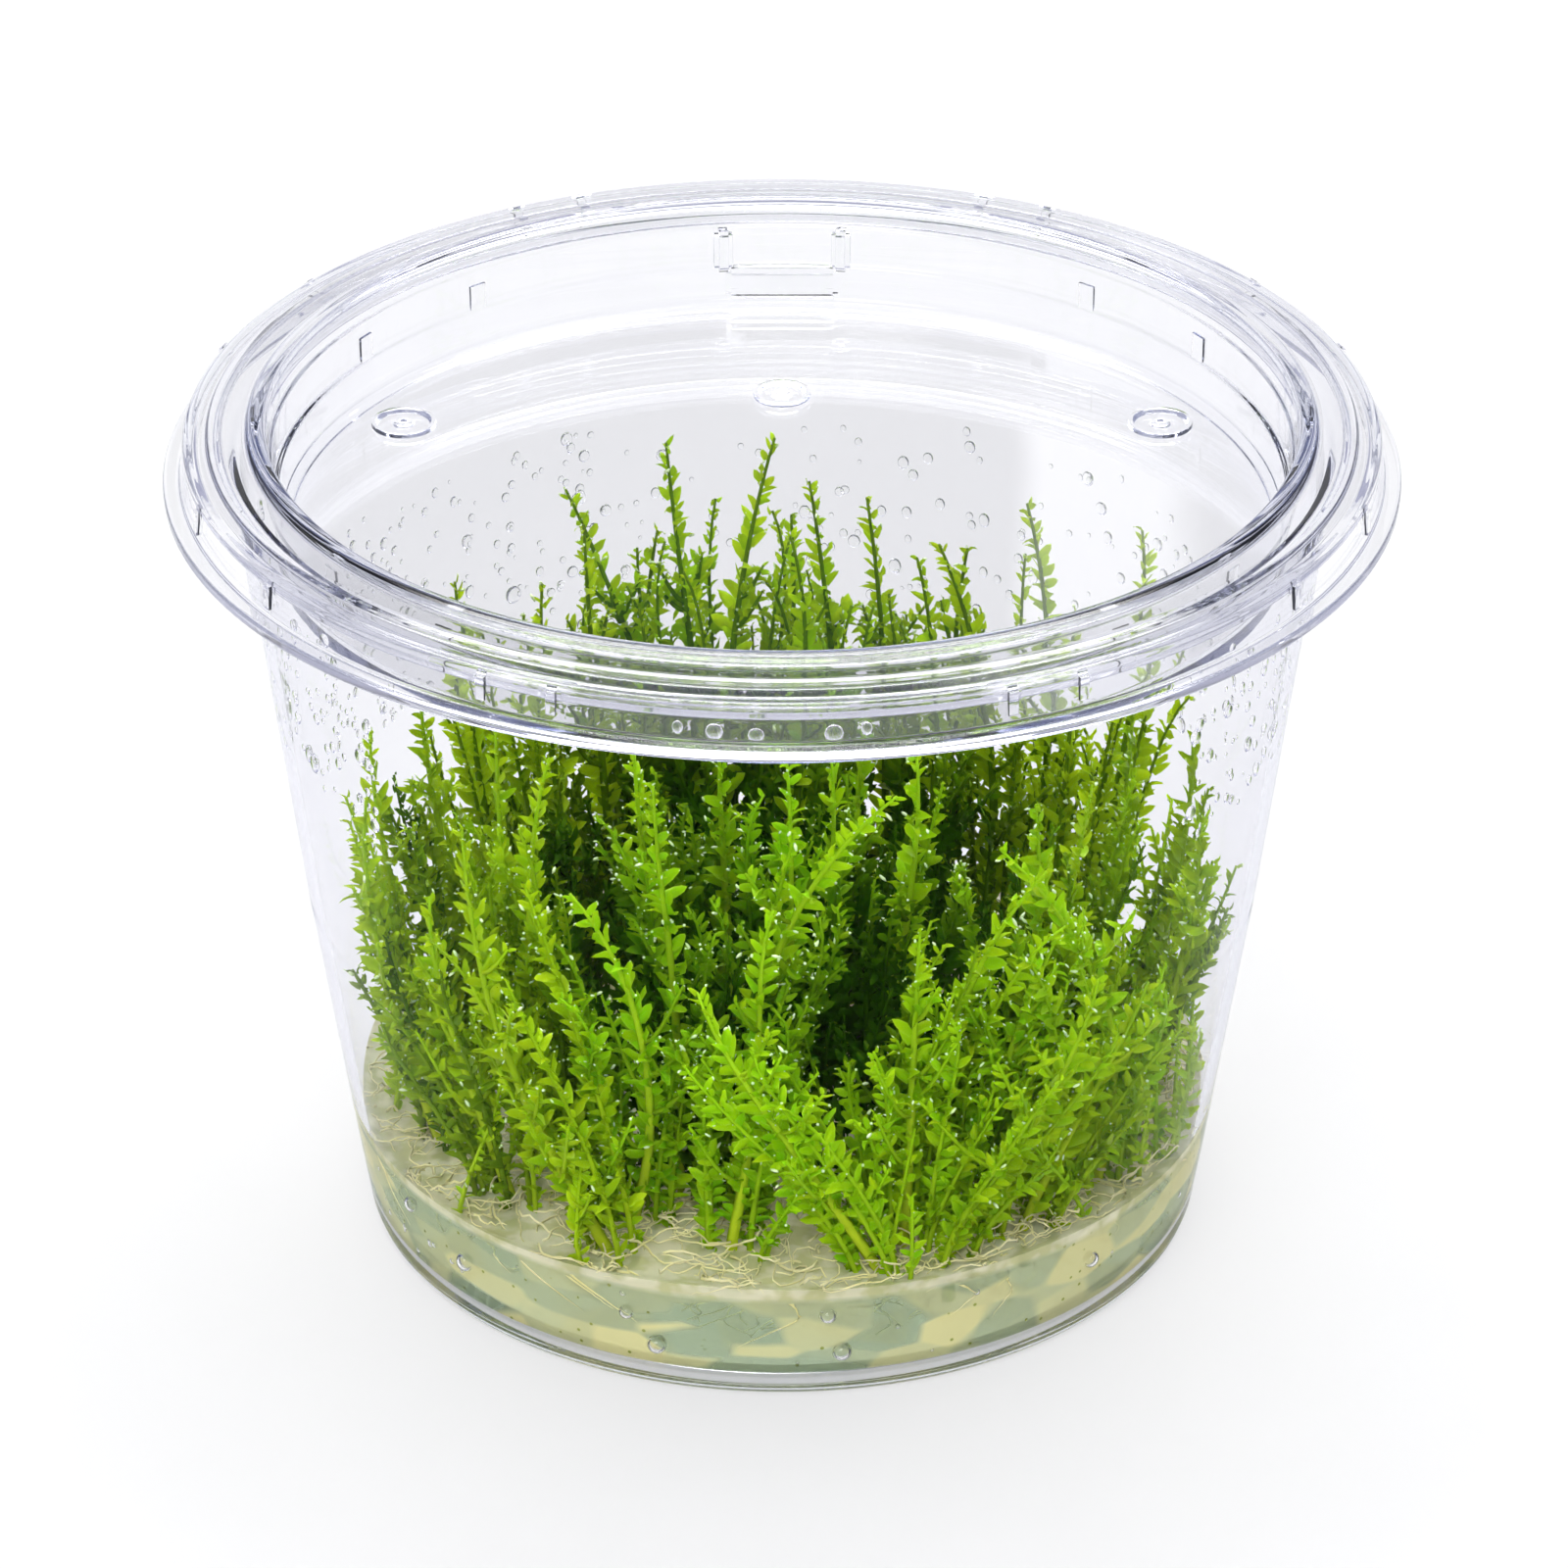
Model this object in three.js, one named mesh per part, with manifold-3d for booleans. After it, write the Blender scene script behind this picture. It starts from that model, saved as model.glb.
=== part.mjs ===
// A tissue culture cup of spiky moss: a clear tapered cup with a clear push-on lid, a layer of
// nutrient gel on its floor, and upright moss shoots rooted on the gel.
// Millimetres, +Z up. The origin is the middle of the cup's foot, on the surface it stands on.
// -Y is the front, where the shoots show best.
import * as THREE from "three";
import { mergeVertices } from "three/addons/utils/BufferGeometryUtils.js";
import Module from "manifold-3d";

const wasm = await Module();
wasm.setup();

// Driving sizes of the cup and the lid
const ROUND_SIDES = 44;
const FOOT_RADIUS = 34.9;
const FOOT_HEIGHT = 0.6;
const FLOOR_TOP = 1.7;
const WALL_THICKNESS = 0.9;
const LOW_WALL = { z: 6, radius: 35.9 };
const MID_WALL = { z: 30, radius: 39.5 };
const HIGH_WALL = { z: 64, radius: 43.9 };
const RIM_RADIUS = 46.9;
const RIM_TOP = 69.5;
const FLANGE_RADIUS = 50;
const FLANGE_BOTTOM = 66.6;
const LID_TOP = 72;
const LID_SKIN = 0.9;
const PANEL_TOP = 62.5;
const PANEL_RADIUS = 40;
const RECESS_RADIUS = 41.5;

// Driving sizes of the gel and the moss
const GEL_TOP = 10;
const GEL_GAP = 0.3;
const FOOT_GAP = 0.3;
const TEETH = 6;
const SHOOT_HALF_WIDTH = 2.7;
const SHOOT_HALF_THICKNESS = 1.0;
const NOTCH_SHARE = 0.45;
const TOOTH_LEAN = 1.3;
const SHOOT_CLEARANCE = 0.3;
const WALL_CLEARANCE = 0.8;

const CLEAR_PLASTIC = new THREE.MeshStandardMaterial({
  color: 0xeef0f5,
  roughness: 0.08,
  metalness: 0,
  transparent: true,
  opacity: 0.3,
});
const NUTRIENT_GEL = new THREE.MeshStandardMaterial({
  color: 0xd9dcc4,
  roughness: 0.15,
  metalness: 0,
  transparent: true,
  opacity: 0.6,
});
const MOSS_GREEN = new THREE.MeshStandardMaterial({
  color: 0x58a61a,
  roughness: 0.4,
  metalness: 0,
});

const radians = THREE.MathUtils.degToRad;
const lerp = THREE.MathUtils.lerp;

// A closed geometry as a solid that can be joined.
function solidOf(geometry) {
  const bare = geometry.clone();
  bare.deleteAttribute("normal");
  bare.deleteAttribute("uv");
  const merged = mergeVertices(bare, 1e-4);
  return new wasm.Manifold(
    new wasm.Mesh({
      numProp: 3,
      vertProperties: merged.getAttribute("position").array,
      triVerts: new Uint32Array(merged.index.array),
    }),
  );
}

// A joined solid as a geometry again.
function geometryOf(solid) {
  const mesh = solid.getMesh();
  const geometry = new THREE.BufferGeometry();
  geometry.setAttribute("position", new THREE.BufferAttribute(mesh.vertProperties, 3));
  geometry.setIndex(new THREE.BufferAttribute(mesh.triVerts, 1));
  geometry.computeVertexNormals();
  return geometry;
}

// A round piece turned about Z from [radius, height] points.
function turned(profile) {
  const points = profile.map(([radius, height]) => new THREE.Vector2(radius, height));
  return new THREE.LatheGeometry(points, ROUND_SIDES).rotateX(Math.PI / 2);
}

// A small block that stands at an angle round the axis; angle 0 is the front, -Y.
function blockAt(degrees, radius, bottom, { wide, deep, tall }) {
  const block = new THREE.BoxGeometry(wide, deep, tall);
  block.translate(0, -radius, bottom + tall / 2);
  return block.rotateZ(radians(degrees));
}

function meshOf(name, geometry, material) {
  const mesh = new THREE.Mesh(geometry, material);
  mesh.name = name;
  return mesh;
}

// The radius of the cup's outer wall at a height.
function wallRadius(z) {
  const [low, high] = z < MID_WALL.z ? [LOW_WALL, MID_WALL] : [MID_WALL, HIGH_WALL];
  return lerp(low.radius, high.radius, (z - low.z) / (high.z - low.z));
}

const innerRadius = (z) => wallRadius(z) - WALL_THICKNESS;

// The cup: a raised floor on a ring foot, a tapered wall, and a rim that turns outwards.
function cupGeometry() {
  const neck = wallRadius(RIM_TOP - 1.6);
  return turned([
    [0, FOOT_HEIGHT],
    [31.6, FOOT_HEIGHT],
    [32.3, 0],
    [34.2, 0],
    [FOOT_RADIUS, FOOT_HEIGHT],
    [LOW_WALL.radius, LOW_WALL.z],
    [MID_WALL.radius, MID_WALL.z],
    [HIGH_WALL.radius, HIGH_WALL.z],
    [neck, RIM_TOP - 1.6],
    [neck + 0.5, RIM_TOP - 0.9],
    [RIM_RADIUS, RIM_TOP - 0.8],
    [RIM_RADIUS, RIM_TOP - 0.1],
    [RIM_RADIUS - 0.3, RIM_TOP],
    [neck - 0.3, RIM_TOP],
    [innerRadius(HIGH_WALL.z), HIGH_WALL.z],
    [innerRadius(MID_WALL.z), MID_WALL.z],
    [innerRadius(LOW_WALL.z), LOW_WALL.z],
    [34.1, 2.6],
    [32.9, FLOOR_TOP],
    [0, FLOOR_TOP],
  ]);
}

// The lid: a sunk panel, a plug wall that enters the cup, a beaded ring over its rim, and a skirt
// that ends in a flange.
function lidShell() {
  const plug = RECESS_RADIUS + LID_SKIN;
  return turned([
    [0, PANEL_TOP - LID_SKIN],
    [PANEL_RADIUS + 0.6, PANEL_TOP - LID_SKIN],
    [plug - 0.9, PANEL_TOP - 0.5],
    [plug - 0.3, 66],
    [plug, 69.4],
    [42.9, 70.9],
    [44.5, 70.6],
    [45.4, RIM_TOP + 0.35],
    [47.3, RIM_TOP + 0.35],
    [47.6, 69.4],
    [48.1, 67.3],
    [48.5, FLANGE_BOTTOM],
    [FLANGE_RADIUS, FLANGE_BOTTOM],
    [FLANGE_RADIUS, 67.5],
    [49.1, 67.8],
    [48.4, 70.0],
    [48.2, 70.5],
    [47.5, 70.9],
    [46.6, 70.7],
    [45.6, 70.9],
    [44.7, 71.5],
    [43.7, 71.3],
    [42.6, LID_TOP],
    [41.7, LID_TOP - 0.1],
    [RECESS_RADIUS, 70.6],
    [41.3, 66.1],
    [40.9, 65.9],
    [PANEL_RADIUS + 0.7, PANEL_TOP + 0.6],
    [PANEL_RADIUS, PANEL_TOP],
    [0, PANEL_TOP],
  ]);
}

// Upright ribs on the skirt, lugs and a wide tab on the recess wall, and three raised round marks
// on the panel.
const RIB_ANGLES = [21, 28, 55, 72, 108, 125, 152, 159];
const LUG_ANGLES = [39, 58, 122, 141];
const MARKS = [
  { x: -31.5, y: 16.7, radius: 2.7 },
  { x: 0, y: 22.3, radius: 2.4 },
  { x: 31.5, y: 16.7, radius: 2.7 },
];

function lidGeometry() {
  let lid = solidOf(lidShell());
  const join = (geometry) => {
    lid = lid.add(solidOf(geometry));
  };
  const bothSides = (angles) => angles.flatMap((angle) => [angle, -angle]);
  for (const angle of bothSides(RIB_ANGLES)) {
    join(blockAt(angle, 48.6, 67.5, { wide: 0.9, deep: 1.0, tall: 2.7 }));
  }
  for (const angle of bothSides(LUG_ANGLES)) {
    join(blockAt(angle, 41.3, 66.4, { wide: 1.2, deep: 0.9, tall: 2.0 }));
  }
  join(blockAt(180, 41.0, 63.6, { wide: 9.2, deep: 0.9, tall: 2.6 }));
  for (const { x, y, radius } of MARKS) {
    const mark = new THREE.CylinderGeometry(radius, radius, 0.5, 12).rotateX(Math.PI / 2);
    join(mark.translate(x, y, PANEL_TOP));
  }
  return geometryOf(lid);
}

// The gel fills the cup's floor and climbs a little at the wall.
function gelGeometry() {
  const side = (z) => innerRadius(z) - GEL_GAP;
  return turned([
    [0, FLOOR_TOP + GEL_GAP],
    [32.5, FLOOR_TOP + GEL_GAP],
    [33.7, 3.0],
    [side(LOW_WALL.z), LOW_WALL.z],
    [side(GEL_TOP) + 0.02, GEL_TOP + 0.7],
    [side(GEL_TOP) - 0.9, GEL_TOP],
    [0, GEL_TOP],
  ]);
}

// The shoots: where each foot stands on the gel, where its tip ends, and how far its middle bows
// aside from the straight line between them. x runs right and y runs back.
const SHOOTS = [
  // The front, from left to right
  { foot: [-22, -20], tip: [-29, -15, 36], bow: [-1, -1] },
  { foot: [-14, -29], tip: [-25, -19, 44], bow: [-3, -1] },
  { foot: [-12, -24], tip: [-16, -24, 41], bow: [3, -1] },
  { foot: [-8, -20], tip: [-11, -20, 49], bow: [1, 0] },
  { foot: [-4, -22], tip: [8, -22, 49], bow: [-4, 1] },
  { foot: [-4, -28], tip: [-2, -26, 41], bow: [1, 1] },
  { foot: [8, -31], tip: [-8, -27, 34], bow: [0, -2] },
  { foot: [10, -28], tip: [11, -27, 39], bow: [0, 0] },
  { foot: [9, -23], tip: [20, -24, 43], bow: [-1, 1] },
  { foot: [13, -29], tip: [26, -25, 34], bow: [1, -1] },
  { foot: [19, -25], tip: [30, -18, 30], bow: [0, -1] },
  { foot: [16, -22], tip: [22, -23, 36], bow: [-1, 0] },
  { foot: [26, -18], tip: [17, -21, 43], bow: [5, 1] },
  { foot: [20, -16], tip: [21, -17, 46], bow: [0, 1] },
  // The right side
  { foot: [28, -11], tip: [34, -7, 40], bow: [2, 0] },
  { foot: [29, -3], tip: [34, 0, 42], bow: [1, 0] },
  { foot: [24, -2], tip: [29, 1, 46], bow: [1, 0] },
  { foot: [20, -9], tip: [25, -12, 44], bow: [0, 0] },
  // The left side
  { foot: [-28, -12], tip: [-34, -8, 42], bow: [-2, 0] },
  { foot: [-28, -4], tip: [-34, -1, 43], bow: [-1, 0] },
  { foot: [-24, 1], tip: [-30, 4, 45], bow: [-1, 0] },
  { foot: [-20, -8], tip: [-23, -8, 47], bow: [-1, 0] },
  { foot: [-18, -17], tip: [-19, -14, 48], bow: [-2, 0] },
  // The back, from left to right, with the tallest shoots
  { foot: [-22, 10], tip: [-27, 13, 50], bow: [-1, 0] },
  { foot: [-17, 9], tip: [-21, 15, 48], bow: [0, 0] },
  { foot: [-14, 16], tip: [-17, 20, 51], bow: [0, 0] },
  { foot: [-10, 22], tip: [-19, 25, 52], bow: [4, 0] },
  { foot: [-7, 18], tip: [-11, 28, 55], bow: [1, 0] },
  { foot: [-5, 13], tip: [-1, 27, 56], bow: [-2, 0] },
  { foot: [-1, 9], tip: [2, 19, 51], bow: [1, 0] },
  { foot: [4, 18], tip: [2, 23, 54], bow: [2, 0] },
  { foot: [8, 20], tip: [7, 23, 52], bow: [1, 0] },
  { foot: [12, 13], tip: [12, 18, 49], bow: [1, 0] },
  { foot: [17, 17], tip: [13, 21, 49], bow: [3, 0] },
  { foot: [21, 20], tip: [21, 26, 50], bow: [2, 0] },
  { foot: [25, 10], tip: [31, 19, 51], bow: [1, 1] },
  { foot: [-22, 19], tip: [-27, 22, 43], bow: [-1, 1] },
  { foot: [-11, 27], tip: [-11, 33, 44], bow: [-1, 1] },
  { foot: [1, 28], tip: [1, 34, 45], bow: [0, 1] },
  { foot: [12, 26], tip: [15, 31, 44], bow: [1, 1] },
];

// Shoots in the middle of the clump stand on a spiral, one golden angle after the next.
const INNER_SHOOTS = 6;
const GOLDEN_ANGLE = 137.5;

function innerShoots() {
  const made = [];
  for (let i = 0; i < INNER_SHOOTS; i++) {
    const angle = radians(GOLDEN_ANGLE * i);
    const reach = 4.2 * Math.sqrt(i + 0.6);
    const foot = [reach * Math.cos(angle), reach * Math.sin(angle) - 5];
    const tip = [foot[0] * 1.4, foot[1] * 1.2, 44 + (i % 3) * 2];
    made.push({ foot, tip, bow: [0, 0] });
  }
  return made;
}

// Half the width of a shoot along its length: slim at the foot, full at a third, a fine tip.
function halfWidth(share) {
  const swell = Math.sin(Math.PI * Math.pow(share, 0.55));
  return lerp(0.7, SHOOT_HALF_WIDTH, Math.pow(Math.max(swell, 0), 0.7)) * (1 - 0.55 * share);
}

// The stations of a shoot's centreline, from its foot to its tip.
const STATIONS = 2 * TEETH + 1;

function stationsOf({ foot, tip, bow }) {
  const start = new THREE.Vector3(foot[0], foot[1], GEL_TOP + FOOT_GAP);
  const end = new THREE.Vector3(...tip);
  const middle = start.clone().lerp(end, 0.5);
  middle.x += 2 * bow[0];
  middle.y += 2 * bow[1];
  return new THREE.QuadraticBezierCurve3(start, middle, end).getPoints(STATIONS - 1);
}

// Neighbouring shoots push each other aside, and the wall holds them in, until none touch.
const SETTLE_PASSES = 140;

function settle(lines) {
  const rest = lines.map((line) => line.map((point) => point.clone()));
  const room = Array.from({ length: STATIONS }, (_, k) => halfWidth(k / (STATIONS - 1)));
  for (let pass = 0; pass < SETTLE_PASSES; pass++) {
    pushApart(lines, room);
    for (const [i, line] of lines.entries()) {
      smoothShift(line, rest[i]);
      keepInside(line, room);
    }
  }
}

function pushApart(lines, room) {
  for (let a = 0; a < lines.length; a++) {
    for (let b = a + 1; b < lines.length; b++) {
      for (let i = 0; i < STATIONS; i++) {
        for (let j = 0; j < STATIONS; j++) {
          const p = lines[a][i];
          const q = lines[b][j];
          const wanted = room[i] + room[j] + SHOOT_CLEARANCE;
          const distance = p.distanceTo(q);
          if (distance >= wanted) continue;
          const flat = Math.max(Math.hypot(q.x - p.x, q.y - p.y), 0.01);
          const push = (0.5 * (wanted - distance)) / flat;
          const dx = (q.x - p.x) * push;
          const dy = (q.y - p.y) * push;
          p.set(p.x - dx, p.y - dy, p.z);
          q.set(q.x + dx, q.y + dy, q.z);
        }
      }
    }
  }
}

function smoothShift(line, rest) {
  const shifts = line.map((point, k) => point.clone().sub(rest[k]));
  line.forEach((point, k) => {
    const before = shifts[Math.max(k - 1, 0)];
    const after = shifts[Math.min(k + 1, STATIONS - 1)];
    const mean = shifts[k].clone().multiplyScalar(2).add(before).add(after).multiplyScalar(0.25);
    point.copy(rest[k]).add(mean);
  });
}

function keepInside(line, room) {
  line.forEach((point, k) => {
    const limit = innerRadius(point.z) - room[k] - WALL_CLEARANCE;
    const reach = Math.hypot(point.x, point.y);
    if (reach > limit) {
      point.x *= limit / reach;
      point.y *= limit / reach;
    }
  });
}

// A shoot: a ridged stem whose two edges run in teeth, alternately left and right, that lean
// towards the tip. Each station is a ring of four points, and the tip is one point.
function shootGeometry(line) {
  const positions = [];
  const outward = new THREE.Vector3(line[6].x, line[6].y, 0).normalize();
  for (let k = 0; k < STATIONS - 1; k++) {
    const along = line[k + 1].clone().sub(line[Math.max(k - 1, 0)]).normalize();
    const side = new THREE.Vector3().crossVectors(along, outward).normalize();
    const face = new THREE.Vector3().crossVectors(side, along);
    const share = k / (STATIONS - 1);
    const wide = halfWidth(share);
    const thick = SHOOT_HALF_THICKNESS * (1 - 0.6 * share);
    const edge = (sign, isTooth) => {
      const reach = sign * wide * (isTooth ? 1 : NOTCH_SHARE);
      const lean = isTooth && k > 0 ? TOOTH_LEAN : 0;
      return line[k].clone().addScaledVector(side, reach).addScaledVector(along, lean);
    };
    const ring = [
      line[k].clone().addScaledVector(face, thick),
      edge(1, k % 2 === 1),
      line[k].clone().addScaledVector(face, -thick),
      edge(-1, k % 2 === 0),
    ];
    for (const point of ring) positions.push(point.x, point.y, point.z);
  }
  const tip = line[STATIONS - 1];
  positions.push(tip.x, tip.y, tip.z);

  const faces = [0, 2, 1, 0, 3, 2];
  for (let k = 0; k < STATIONS - 2; k++) {
    for (let c = 0; c < 4; c++) {
      const low = 4 * k + c;
      const next = 4 * k + ((c + 1) % 4);
      faces.push(low, next, next + 4, low, next + 4, low + 4);
    }
  }
  const last = 4 * (STATIONS - 2);
  for (let c = 0; c < 4; c++) {
    faces.push(last + c, last + ((c + 1) % 4), last + 4);
  }
  const geometry = new THREE.BufferGeometry();
  geometry.setAttribute("position", new THREE.Float32BufferAttribute(positions, 3));
  geometry.setIndex(faces);
  geometry.computeVertexNormals();
  return geometry;
}

const vessel = new THREE.Group();
vessel.add(meshOf("cup", cupGeometry(), CLEAR_PLASTIC));
vessel.add(meshOf("lid", lidGeometry(), CLEAR_PLASTIC));
vessel.add(meshOf("gel", gelGeometry(), NUTRIENT_GEL));

const moss = new THREE.Group();
const lines = [...SHOOTS, ...innerShoots()].map(stationsOf);
settle(lines);
lines.forEach((line, i) => {
  const name = "moss_shoot_" + String(i + 1).padStart(2, "0");
  moss.add(meshOf(name, shootGeometry(line), MOSS_GREEN));
});

const part = new THREE.Group();
part.add(vessel, moss);
export default part;
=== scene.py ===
import math

import bmesh
import bpy
import numpy as np
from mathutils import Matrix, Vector


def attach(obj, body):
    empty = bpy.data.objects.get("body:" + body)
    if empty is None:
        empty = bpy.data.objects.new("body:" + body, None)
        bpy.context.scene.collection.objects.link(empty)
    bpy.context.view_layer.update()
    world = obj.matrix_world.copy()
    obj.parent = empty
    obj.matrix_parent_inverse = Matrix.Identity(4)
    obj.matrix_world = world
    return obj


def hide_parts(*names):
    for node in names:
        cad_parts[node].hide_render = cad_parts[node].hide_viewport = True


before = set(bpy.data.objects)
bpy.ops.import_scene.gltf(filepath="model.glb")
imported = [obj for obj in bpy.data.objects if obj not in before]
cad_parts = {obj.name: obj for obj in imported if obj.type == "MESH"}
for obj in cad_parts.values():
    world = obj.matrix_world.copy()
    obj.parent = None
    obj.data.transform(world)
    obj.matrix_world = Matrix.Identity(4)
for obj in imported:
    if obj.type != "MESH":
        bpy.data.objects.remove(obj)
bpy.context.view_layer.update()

# A clear culture cup of spiky moss. Lengths are in millimetres, and MM turns them into Blender's
# metres. The cup's and lid's sizes repeat those of the CAD source.
MM = 0.001
ROUND_SIDES = 240
GEL_SIDES = 144
FOOT_RADIUS = 34.9
# Heights on the wall, and its outer radius there
WALL = ((6.0, 35.9), (30.0, 39.5), (64.0, 43.9))
WALL_THICKNESS = 0.9
RIM_TOP = 69.5
RIM_RADIUS = 46.9
FLANGE_RADIUS = 50.0
FLANGE_BOTTOM = 66.6
LID_TOP = 72.0
LID_SKIN = 0.9
PANEL_TOP = 62.5
PANEL_RADIUS = 40.0
RECESS_RADIUS = 41.5
CUP_FLOOR = 1.0
FOOT_TOP = 1.0
GEL_TOP = 10.0
MOSS_TOP = 56.5

# The photograph's camera
CAMERA_TARGET = (0, 0, 37.49)
CAMERA_ELEVATION = 28.7
CAMERA_DISTANCE = 602.4
CAMERA_LENS = 166.8
CAMERA_SHIFT = 0.00125


def wall_radius(z):
    """The outer radius of the cup's wall at a height."""
    heights, radii = zip(*WALL)
    low = radii[0] + (np.asarray(z) - heights[0]) * (radii[1] - radii[0]) / (heights[1] - heights[0])
    high = radii[1] + (np.asarray(z) - heights[1]) * (radii[2] - radii[1]) / (heights[2] - heights[1])
    return np.where(np.asarray(z) < heights[1], low, high)


def inner_radius(z):
    return wall_radius(z) - WALL_THICKNESS


def unit(vectors):
    """Vectors along the last axis, at length one."""
    vectors = np.asarray(vectors, float)
    return vectors / np.maximum(np.linalg.norm(vectors, axis=-1, keepdims=True), 1e-9)


# Mesh helpers


def new_object(name, vertices, faces, smooth=True):
    """A mesh object from millimetre vertices and faces."""
    mesh = bpy.data.meshes.new(name)
    mesh.from_pydata((np.asarray(vertices) * MM).tolist(), [], faces)
    mesh.validate()
    mesh.update()
    if smooth:
        mesh.shade_smooth()
    made = bpy.data.objects.new(name, mesh)
    bpy.context.scene.collection.objects.link(made)
    return made


def finish_piece(made, material, replaced=()):
    """Gives a piece its material and its body, and hides the CAD nodes that it stands for."""
    made.data.materials.clear()
    made.data.materials.append(material)
    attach(made, "root")
    if replaced:
        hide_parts(*replaced)


def rounded(profile, radius=0.22, steps=3):
    """A [radius, height] profile with its corners curved, and a point close to each curve so that the
    long faces beside it shade flat."""
    points = [np.array(point, float) for point in profile]
    soft = [points[0]]
    for before, corner, after in zip(points, points[1:], points[2:]):
        back, ahead = before - corner, after - corner
        back_length, ahead_length = np.linalg.norm(back), np.linalg.norm(ahead)
        cut = min(radius, 0.42 * back_length, 0.42 * ahead_length)
        start = corner + back / back_length * cut
        end = corner + ahead / ahead_length * cut
        if back_length > 4 * cut:
            soft.append(corner + back / back_length * cut * 1.5)
        for share in np.linspace(0, 1, steps + 1):
            soft.append((1 - share) ** 2 * start + 2 * share * (1 - share) * corner + share**2 * end)
        if ahead_length > 4 * cut:
            soft.append(corner + ahead / ahead_length * cut * 1.5)
    soft.append(points[-1])
    return soft


def turned(profile, sides=ROUND_SIDES, wave=None):
    """Vertices and faces of a solid turned about Z from a profile that starts and ends on the axis."""
    angles = np.linspace(0, 2 * np.pi, sides, endpoint=False)
    cosines, sines = np.cos(angles), np.sin(angles)
    vertices = [(0, 0, profile[0][1])]
    for ring_radius, height in profile[1:-1]:
        lift = wave(ring_radius, height, angles) if wave else 0
        heights = np.full(sides, height) + lift
        vertices.extend(zip(ring_radius * cosines, ring_radius * sines, heights))
    vertices.append((0, 0, profile[-1][1]))
    rings = len(profile) - 2
    faces = []
    for j in range(sides):
        k = (j + 1) % sides
        faces.append((0, 1 + k, 1 + j))
        for i in range(rings - 1):
            low, high = 1 + i * sides, 1 + (i + 1) * sides
            faces.append((low + j, low + k, high + k, high + j))
        last = 1 + (rings - 1) * sides
        faces.append((last + j, last + k, len(vertices) - 1))
    return vertices, faces


def turned_ring(profile, sides=ROUND_SIDES):
    """Vertices and faces of a ring turned about Z from a closed profile."""
    angles = np.linspace(0, 2 * np.pi, sides, endpoint=False)
    vertices = [(r * math.cos(a), r * math.sin(a), z) for r, z in profile for a in angles]
    faces = []
    for i in range(len(profile)):
        low, high = i * sides, (i + 1) % len(profile) * sides
        for j in range(sides):
            k = (j + 1) % sides
            faces.append((low + j, low + k, high + k, high + j))
    return vertices, faces


def points_and_faces(shape):
    """What a bmesh holds, as an array and a list. The bmesh is freed."""
    shape.verts.index_update()
    points = np.array([vertex.co[:] for vertex in shape.verts])
    faces = [[vertex.index for vertex in face.verts] for face in shape.faces]
    shape.free()
    return points, faces


def block(width, depth, height, centre, degrees=0.0, bevel=0.18):
    """Points and faces of a bevelled block, turned about Z; degrees 0 faces the front."""
    shape = bmesh.new()
    bmesh.ops.create_cube(shape, size=1)
    for vertex in shape.verts:
        vertex.co = Vector((vertex.co.x * width, vertex.co.y * depth, vertex.co.z * height))
    bmesh.ops.bevel(shape, geom=shape.edges[:], offset=bevel, segments=2, affect="EDGES")
    points, faces = points_and_faces(shape)
    x, y, z = (points + centre).T
    cosine, sine = math.cos(math.radians(degrees)), math.sin(math.radians(degrees))
    return np.stack([x * cosine - y * sine, x * sine + y * cosine, z], axis=1), faces


def sphere(subdivisions, radius=1):
    """Points and faces of a ball round the origin."""
    shape = bmesh.new()
    bmesh.ops.create_icosphere(shape, subdivisions=subdivisions, radius=radius)
    return points_and_faces(shape)


def joined(parts):
    """One list of vertices and faces from several."""
    vertices, faces = [], []
    for part_vertices, part_faces in parts:
        start = len(vertices)
        vertices.extend(part_vertices)
        faces.extend(tuple(start + corner for corner in face) for face in part_faces)
    return vertices, faces


def union(base, parts):
    """Fuses small closed shapes into a piece."""
    extra = new_object("extra_shapes", *joined(parts))
    modifier = base.modifiers.new("fuse", "BOOLEAN")
    modifier.operation = "UNION"
    modifier.solver = "EXACT"
    modifier.use_self = True
    modifier.object = extra
    evaluated = base.evaluated_get(bpy.context.evaluated_depsgraph_get())
    fused = bpy.data.meshes.new_from_object(evaluated)
    base.modifiers.clear()
    base.data = fused
    bpy.data.objects.remove(extra)
    base.data.shade_smooth()
    base.data.set_sharp_from_angle(angle=math.radians(35))


# Materials


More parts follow.
